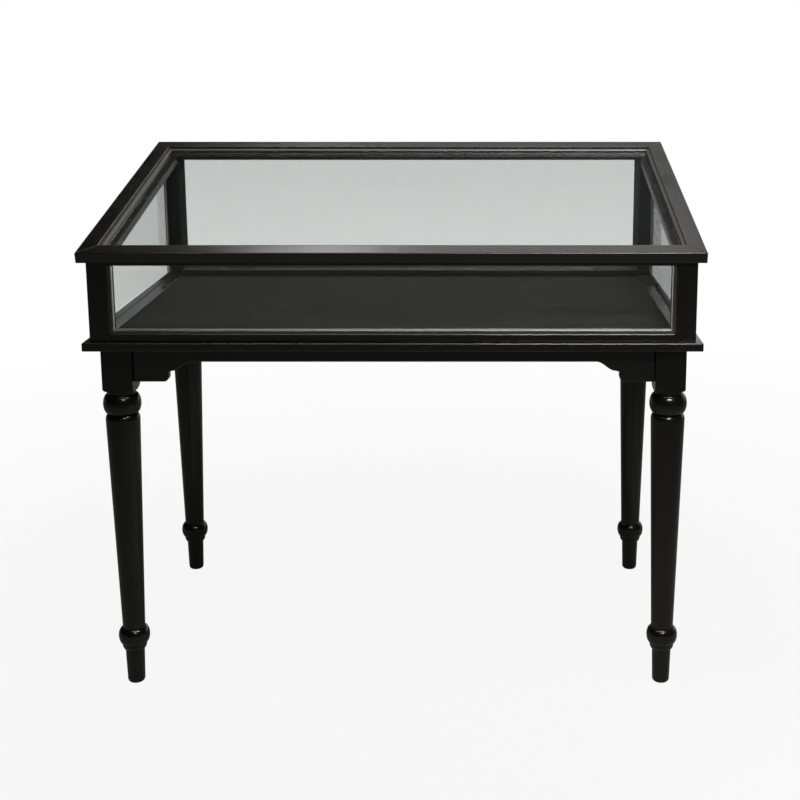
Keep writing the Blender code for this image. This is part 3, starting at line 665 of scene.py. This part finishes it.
def make_screw(name, outward, material, body):
    """A countersunk screw with a crossed drive, as large as the model's plain one and in its place."""
    middle, head, shank, length = screw_sizes(name, outward)
    cone = head - shank
    lip = head * HEAD_LIP_SHARE
    profile = [
        (head - lip, 0),
        (head, -lip),
        (shank, -cone),
        (shank, -length + shank),
        (shank * SHANK_TIP_SHARE, -length),
    ]
    turns = [2 * math.pi * i / SCREW_TURNS for i in range(SCREW_TURNS)]
    rings = []
    for radius, level in profile:
        rings.append([(radius * math.cos(turn), radius * math.sin(turn), level) for turn in turns])
    screw = add_piece("slotted_" + name, *skin(rings), material)
    cutters = []
    for points, faces in crossed_slot(head, head * SLOT_DEPTH_SHARE):
        cutter = add_piece(name + "_slot", points, faces, material)
        change = screw.modifiers.new("slot", "BOOLEAN")
        change.operation = "DIFFERENCE"
        change.solver = "EXACT"
        change.object = cutter
        cutters.append(cutter)
    shape = screw.evaluated_get(bpy.context.evaluated_depsgraph_get())
    mesh = bpy.data.meshes.new_from_object(shape)
    screw.modifiers.clear()
    screw.data = mesh
    for cutter in cutters:
        bpy.data.objects.remove(cutter)
    screw.rotation_mode = "QUATERNION"
    screw.rotation_quaternion = outward.to_track_quat("Z", "Y")
    screw.location = middle
    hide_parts(name)
    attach(screw, body)


def make_screws(finishes):
    for name in sorted(frame["nodes"]):
        if name.startswith("case_screw"):
            make_screw(name, DOWNWARD, finishes["zinc"], "table_and_case")
        elif name.startswith("hinge_case_screw"):
            make_screw(name, LID_OUTWARD, finishes["bronze"], "table_and_case")
        elif name.startswith("hinge_lid_screw"):
            make_screw(name, -LID_OUTWARD, finishes["bronze"], "lid")


# Studio

def light_paths(finish):
    """Three values of 0 or 1, by what a ray has met on its way.

    Seen: nothing, or only glass that it passed. Mirrored: a glossy surface. Scattered: a dull one.
    """
    path = finish.node("LightPath").outputs
    scattered = finish.combine("GREATER_THAN", path["Diffuse Depth"], ANY_BOUNCE)
    turned = finish.combine("GREATER_THAN", path["Glossy Depth"], ANY_BOUNCE)
    bounced = finish.combine("MAXIMUM", scattered, turned)
    through = finish.combine("MAXIMUM", path["Is Camera Ray"], path["Is Transmission Ray"])
    seen = finish.combine("MULTIPLY", through, finish.combine("SUBTRACT", 1.0, bounced))
    mirrored = finish.combine("MULTIPLY", turned, finish.combine("SUBTRACT", 1.0, scattered))
    return seen, mirrored, scattered


def make_world():
    """White behind the object for the camera, through glass and in reflections; soft light from the rest."""
    world = bpy.data.worlds.new("studio")
    world.use_nodes = True
    bpy.context.scene.world = world
    finish = Finish("studio", world.node_tree)
    seen, mirrored, scattered = light_paths(finish)
    points = finish.node("TexCoord").outputs["Generated"]
    axes = finish.node("SeparateXYZ", {"Vector": points}).outputs
    behind = finish.scaled(axes["Y"], 0.0, 1.0, *BACKDROP_BACK)
    low = finish.scaled(axes["Z"], 1.0, 0.0, BACKDROP_TOP - BACKDROP_FADE, BACKDROP_TOP + BACKDROP_FADE)
    right = finish.scaled(axes["X"], BACKDROP_LEFT_LEVEL, 1.0, *BACKDROP_RIGHT)
    share = finish.combine("MULTIPLY", finish.combine("MULTIPLY", behind, low), right)
    backdrop = finish.combine("MULTIPLY", mirrored, share)
    white = finish.combine("MAXIMUM", seen, backdrop)
    gloss = finish.scaled(axes["X"], ROOM_LEFT_IN_GLOSS, ROOM_IN_GLOSS, *ROOM_RIGHT)
    level = finish.scaled(scattered, gloss, ROOM_LIGHT)
    room = finish.node("Background", {"Color": WHITE, "Strength": level}).outputs["Background"]
    pale = finish.node("Background", {"Color": WHITE, "Strength": 1.0}).outputs["Background"]
    mixed = finish.node("MixShader", {0: white, 1: room, 2: pale}).outputs["Shader"]
    finish.node("OutputWorld", {"Surface": mixed})


def make_floor():
    """A pale floor that keeps a soft shadow near the object and goes over into white further off."""
    reach = FLOOR_REACH
    corners = [(-reach, -reach, 0), (reach, -reach, 0), (reach, reach, 0), (-reach, reach, 0)]
    finish = Finish("pale_floor")
    seen, mirrored, _ = light_paths(finish)
    points = finish.node("TexCoord").outputs["Object"]
    distance = finish.node("VectorMath", {0: points}, operation="LENGTH").outputs["Value"]
    depth = finish.node("SeparateXYZ", {"Vector": points}).outputs["Y"]
    behind = finish.scaled(depth, 0.0, FLOOR_IN_GLOSS, *FLOOR_GLOSS_BACK)
    background = finish.combine("MAXIMUM", seen, finish.combine("MULTIPLY", mirrored, behind))
    faded = finish.scaled(distance, FLOOR_NEAR_WHITE, 1.0, *FLOOR_FADE)
    white = finish.combine("MULTIPLY", background, faded)
    pale = finish.node("BsdfDiffuse", {"Color": FLOOR_COLOUR}).outputs["BSDF"]
    bright = finish.node("Emission", {"Color": WHITE, "Strength": 1.0}).outputs["Emission"]
    shader = finish.node("MixShader", {0: white, 1: pale, 2: bright}).outputs["Shader"]
    floor = add_piece("floor", corners, [(0, 1, 2, 3)], finish.output(shader))


def add_lamp(name, place, target, size, brightness, beam=180, pieces=()):
    """A flat lamp that reflections show, but the camera doesn't.

    Its power goes with its area, and its beam is in degrees. Where pieces are given, it lights those alone.
    """
    width, length = size
    light = bpy.data.lights.new(name, "AREA")
    light.shape = "RECTANGLE"
    light.size = width
    light.size_y = length
    light.energy = brightness * math.pi * width * length
    light.spread = math.radians(beam)
    light.color = LAMP_COLOUR
    lamp = bpy.data.objects.new(name, light)
    lamp.location = place
    lamp.rotation_euler = (Vector(target) - Vector(place)).to_track_quat("-Z", "Y").to_euler()
    lamp.visible_camera = False
    lamp.visible_transmission = False
    bpy.context.scene.collection.objects.link(lamp)
    if pieces:
        lit = bpy.data.collections.new(name + "_lights")
        for piece in pieces:
            lit.objects.link(piece)
        lamp.light_linking.receiver_collection = lit


def make_lamps():
    """Two lamps overhead, two behind, one in front, and a low one on each side for the panes' beads alone."""
    add_lamp("overhead", (-0.15, -0.85, 3.0), (-0.1, -0.3, 0.8), size=(1.5, 0.44), brightness=14)
    add_lamp("overhead_right", (0.85, -0.87, 3.0), (0.6, -0.3, 0.8), size=(0.45, 0.80), brightness=24)
    add_lamp("back_high", (0.15, 2.0, 2.75), (0.1, 0.0, 0.9), size=(1.9, 0.4), brightness=2.2)
    add_lamp("back_spot", (-0.48, 2.0, 2.75), (-0.1, 0.0, 0.9), size=(0.45, 0.4), brightness=7)
    add_lamp("front_high", (0.70, -2.6, 2.45), (0.66, -0.3, 0.70), size=(1.0, 0.22), brightness=10, beam=56)
    beads = [thing for thing in bpy.data.objects if thing.name.startswith("rounded_pane_beads")]
    for name, side in (("side_right", 1), ("side_left", -1)):
        place, target = (3.0 * side, -1.0, 0.3), (-0.5 * side, -0.4, 0.85)
        add_lamp(name, place, target, size=(1.4, 0.5), brightness=20, pieces=beads)


def make_camera():
    camera = bpy.data.cameras.new("camera")
    camera.sensor_width = SENSOR_WIDTH
    camera.lens = LENS
    camera.shift_x, camera.shift_y = CAMERA_SHIFT
    thing = bpy.data.objects.new("camera", camera)
    thing.location = CAMERA_PLACE
    thing.rotation_euler = (math.pi / 2 - CAMERA_PITCH, 0, 0)
    bpy.context.scene.collection.objects.link(thing)
    bpy.context.scene.camera = thing


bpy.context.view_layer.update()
finishes = make_finishes()
for node_name, node in frame["nodes"].items():
    dress(node, finishes[finish_of(node_name)])
make_legs(finishes)
make_pane_beads(finishes)
make_lid_beads(finishes)
make_screws(finishes)
make_world()
make_floor()
make_lamps()
make_camera()
bpy.context.scene.view_settings.view_transform = "Standard"
